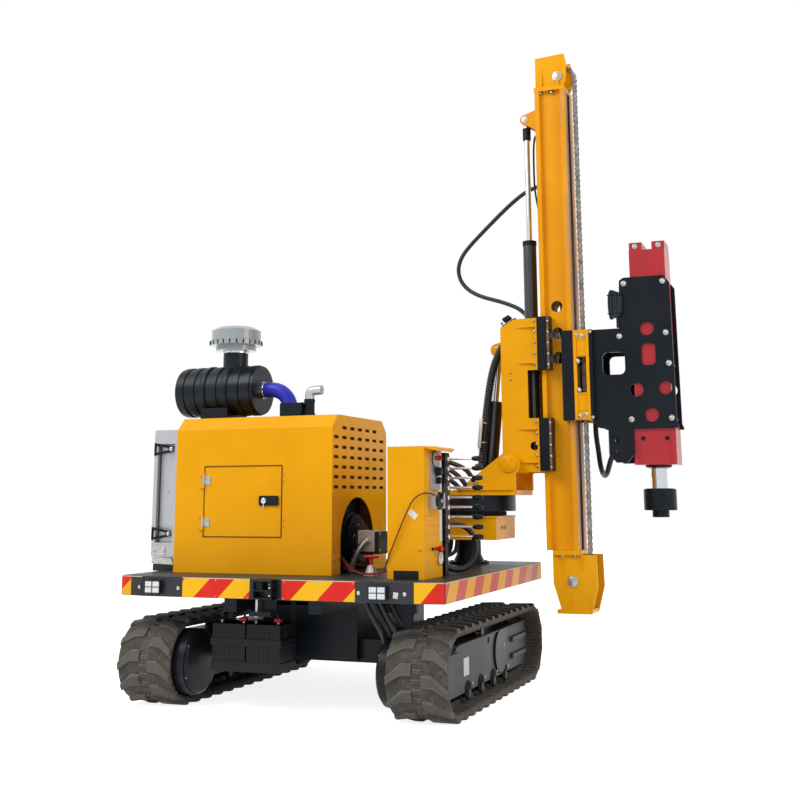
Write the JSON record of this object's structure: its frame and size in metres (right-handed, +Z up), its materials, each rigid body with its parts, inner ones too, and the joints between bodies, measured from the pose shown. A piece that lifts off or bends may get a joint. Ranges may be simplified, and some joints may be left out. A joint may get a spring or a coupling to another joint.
{
  "type": "crawler pile driver rig",
  "caption": "Crawler pile driver rig with an engine hood, lever console and a slewing, tilting mast whose hammer sledge runs on a chain.",
  "frame": {"origin": "on the ground, under the middle of the machine's bounding box with the mast slewed to the right", "axes": "+Z up, +Y the way the machine drives, +X its right-hand side, where the mast stands"},
  "size_m": [3.548, 2.447, 4.8507],
  "materials": {
    "yellow_paint": "semi-gloss",
    "black_paint": "semi-gloss",
    "deck_paint": "satin",
    "red_paint": "semi-gloss",
    "warning_paint": "semi-gloss",
    "grey_metal": "satin",
    "engine_metal": "matt",
    "cast_metal": "satin",
    "chain_steel": "oiled",
    "chrome": "polished",
    "track_rubber": "matt",
    "black_plastic": "satin",
    "lamp_black": "gloss",
    "blue_hose": "satin",
    "black_rubber": "satin",
    "clear_plastic": "gloss"
  },
  "bodies": {
    "chassis": {"air_cleaner": "black_plastic", "batteries": "black_plastic", "centre_frame": "black_paint", "control_cabinet": "yellow_paint", "deck": "deck_paint", "drive_wheels": "black_paint", "engine": "engine_metal", "exhaust": "black_paint", "hood": "yellow_paint", "idlers": "black_paint", "instruments": "grey_metal", "intake_hose": "blue_hose", "lever_valve": "black_paint", "lower_race": "black_paint", "oil_tank": "yellow_paint", "precleaner": "clear_plastic", "pump": "cast_metal", "radiator": "grey_metal", "rear_lamps": "lamp_black", "rollers": "black_paint", "tow_lug": "black_paint", "deck_hose": "black_rubber", "track_frames": "black_paint", "track_left": "track_rubber", "track_right": "track_rubber", "turret_base": "yellow_paint", "warning_boards": "warning_paint"},
    "door": {"hood_door": "yellow_paint"},
    "turret": {"turret": "yellow_paint", "upper_race": "black_paint"},
    "carrier": {"carrier": "yellow_paint", "mast_clamps": "black_paint", "lift_barrel": "black_paint", "mast_hose": "black_rubber"},
    "tilt_barrel": {"tilt_barrel": "black_paint", "tilt_hose": "black_rubber"},
    "tilt_rod": {"tilt_rod": "chrome"},
    "mast": {"mast": "yellow_paint", "mast_head": "yellow_paint", "mast_foot": "yellow_paint", "chain": "chain_steel", "lift_rod": "chrome"},
    "sledge": {"sledge": "yellow_paint", "sledge_guides": "black_paint", "hammer_housing": "black_paint", "breaker": "red_paint", "shank": "chrome", "pile_cap": "black_paint", "hammer_hose": "black_rubber"}
  },
  "joints": [
    {"name": "slew", "type": "hinge", "parent": "chassis", "child": "turret", "pos_m": [0.112, 0.783, 1.3], "axis": [0, 0, 1], "range_deg": [-10, 95]},
    {"name": "tilt", "type": "hinge", "parent": "turret", "child": "carrier", "pos_m": [0.518, 0.783, 1.6], "axis": [0, 1, 0], "range_deg": [-90, 5]},
    {"name": "tilt_barrel_swing", "type": "hinge", "parent": "turret", "child": "tilt_barrel", "pos_m": [0.287, 0.783, 1.5], "axis": [0, 1, 0], "range_deg": [-99, 6]},
    {"name": "tilt_rod_slide", "type": "slide", "parent": "tilt_barrel", "child": "tilt_rod", "axis": [0.1005, 0, 0.9949], "range_m": [-0.336, 0.019]},
    {"name": "mast_slide", "type": "slide", "parent": "carrier", "child": "mast", "axis": [0, 0, 1], "range_m": [-0.45, 0.5]},
    {"name": "hammer_slide", "type": "slide", "parent": "mast", "child": "sledge", "axis": [0, 0, 1], "range_m": [-0.85, 1.8]},
    {"name": "hood_door_swing", "type": "hinge", "parent": "chassis", "child": "door", "pos_m": [-1.315, -0.803, 1.334], "axis": [0, 0, -1], "range_deg": [0, 110]}
  ],
  "couplings": [
    {"joint": "tilt_barrel_swing", "follows": "tilt", "ratio": 1.094},
    {"joint": "tilt_rod_slide", "follows": "tilt", "m_per_rad": 0.2135}
  ]
}
